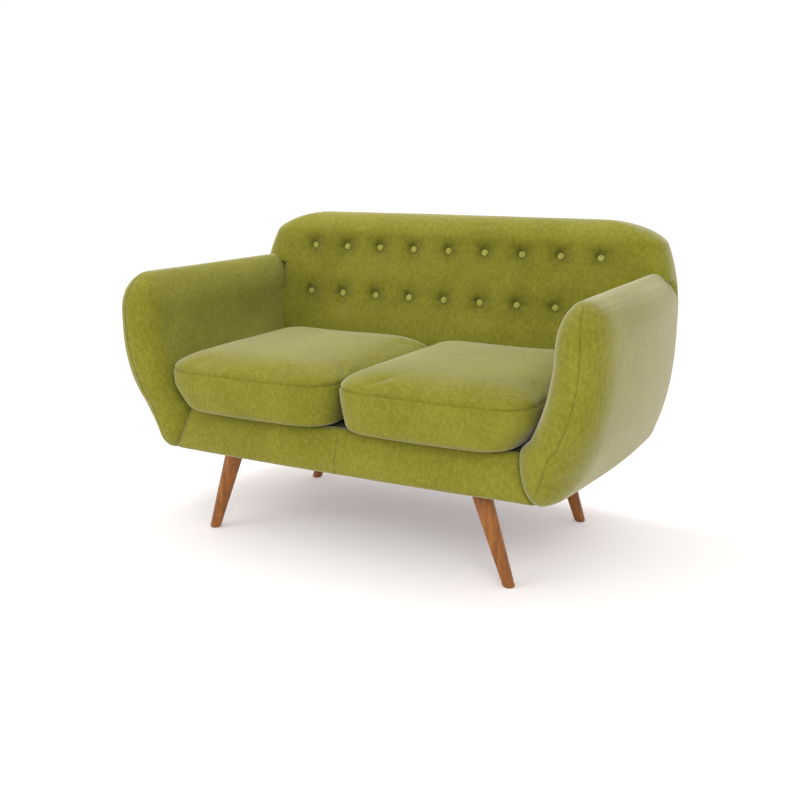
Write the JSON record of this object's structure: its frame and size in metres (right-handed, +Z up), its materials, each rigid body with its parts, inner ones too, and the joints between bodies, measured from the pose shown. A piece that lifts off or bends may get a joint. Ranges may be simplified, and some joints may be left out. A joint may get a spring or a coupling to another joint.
{
  "type": "two-seat sofa",
  "caption": "Two-seat velvet sofa with curved padded arms, a button-tufted leaning back, loose seat cushions and splayed tapered wooden legs.",
  "frame": {"origin": "on the floor, under the centre of the sofa's box", "axes": "+Z up, +X along the seat, -Y towards the front"},
  "size_m": [1.352, 0.8073, 0.8309],
  "materials": {
    "velvet": "cut-pile velvet, soft sheen",
    "piping": "covered in the same velvet",
    "cushion_velvet": "cut-pile velvet, soft sheen",
    "walnut": "oiled, satin",
    "beech": "planed, unfinished",
    "plywood": "sanded plywood",
    "steel": "zinc plated",
    "spring_steel": "oil tempered wire",
    "glide_plastic": "matt nylon",
    "hessian": "plain weave",
    "deck_cloth": "plain weave over foam",
    "dust_cloth": "non-woven",
    "webbing": "woven elastic strap",
    "foam": "polyurethane foam",
    "twine": "waxed cord"
  },
  "bodies": {
    "sofa": {"arm_bolts": "steel", "arm_bottom_rail_left": "beech", "arm_bottom_rail_right": "beech", "arm_front_panel_left": "plywood", "arm_front_panel_right": "plywood", "arm_rear_panel_left": "plywood", "arm_rear_panel_right": "plywood", "arm_top_rail_left": "beech", "arm_top_rail_right": "beech", "arm_upholstery_left": "velvet", "arm_upholstery_right": "velvet", "back_centre_post": "beech", "back_lower_rails": "beech", "back_post_left": "beech", "back_post_right": "beech", "back_top_rails": "beech", "back_upholstery": "velvet", "back_webbing": "webbing", "button_twines": "twine", "corner_blocks": "beech", "dust_cover": "dust_cloth", "foot_glides": "glide_plastic", "front_rail_upholstery": "velvet", "leg_front_left": "walnut", "leg_front_right": "walnut", "leg_hanger_bolts": "steel", "leg_mounting_plates": "steel", "leg_plate_screws": "steel", "leg_rear_left": "walnut", "leg_rear_right": "walnut", "outer_back_panel": "velvet", "seat_deck_pad": "deck_cloth", "seat_frame_centre_brace": "beech", "seat_frame_front_rail": "beech", "seat_frame_rear_rail": "beech", "seat_frame_screws": "steel", "seat_frame_side_rail_left": "beech", "seat_frame_side_rail_right": "beech", "seat_springs": "spring_steel", "spring_clips": "steel", "spring_hessian": "hessian", "tufting_buttons": "piping"},
    "left_cushion": {"seat_cushion_cover_left": "cushion_velvet", "seat_cushion_foam_left": "foam"},
    "right_cushion": {"seat_cushion_cover_right": "cushion_velvet", "seat_cushion_foam_right": "foam"}
  },
  "joints": [
    {"name": "left_cushion_lift", "type": "slide", "parent": "sofa", "child": "left_cushion", "axis": [0, 0, 1], "range_m": [0, 0.25]},
    {"name": "right_cushion_lift", "type": "slide", "parent": "sofa", "child": "right_cushion", "axis": [0, 0, 1], "range_m": [0, 0.25]}
  ]
}
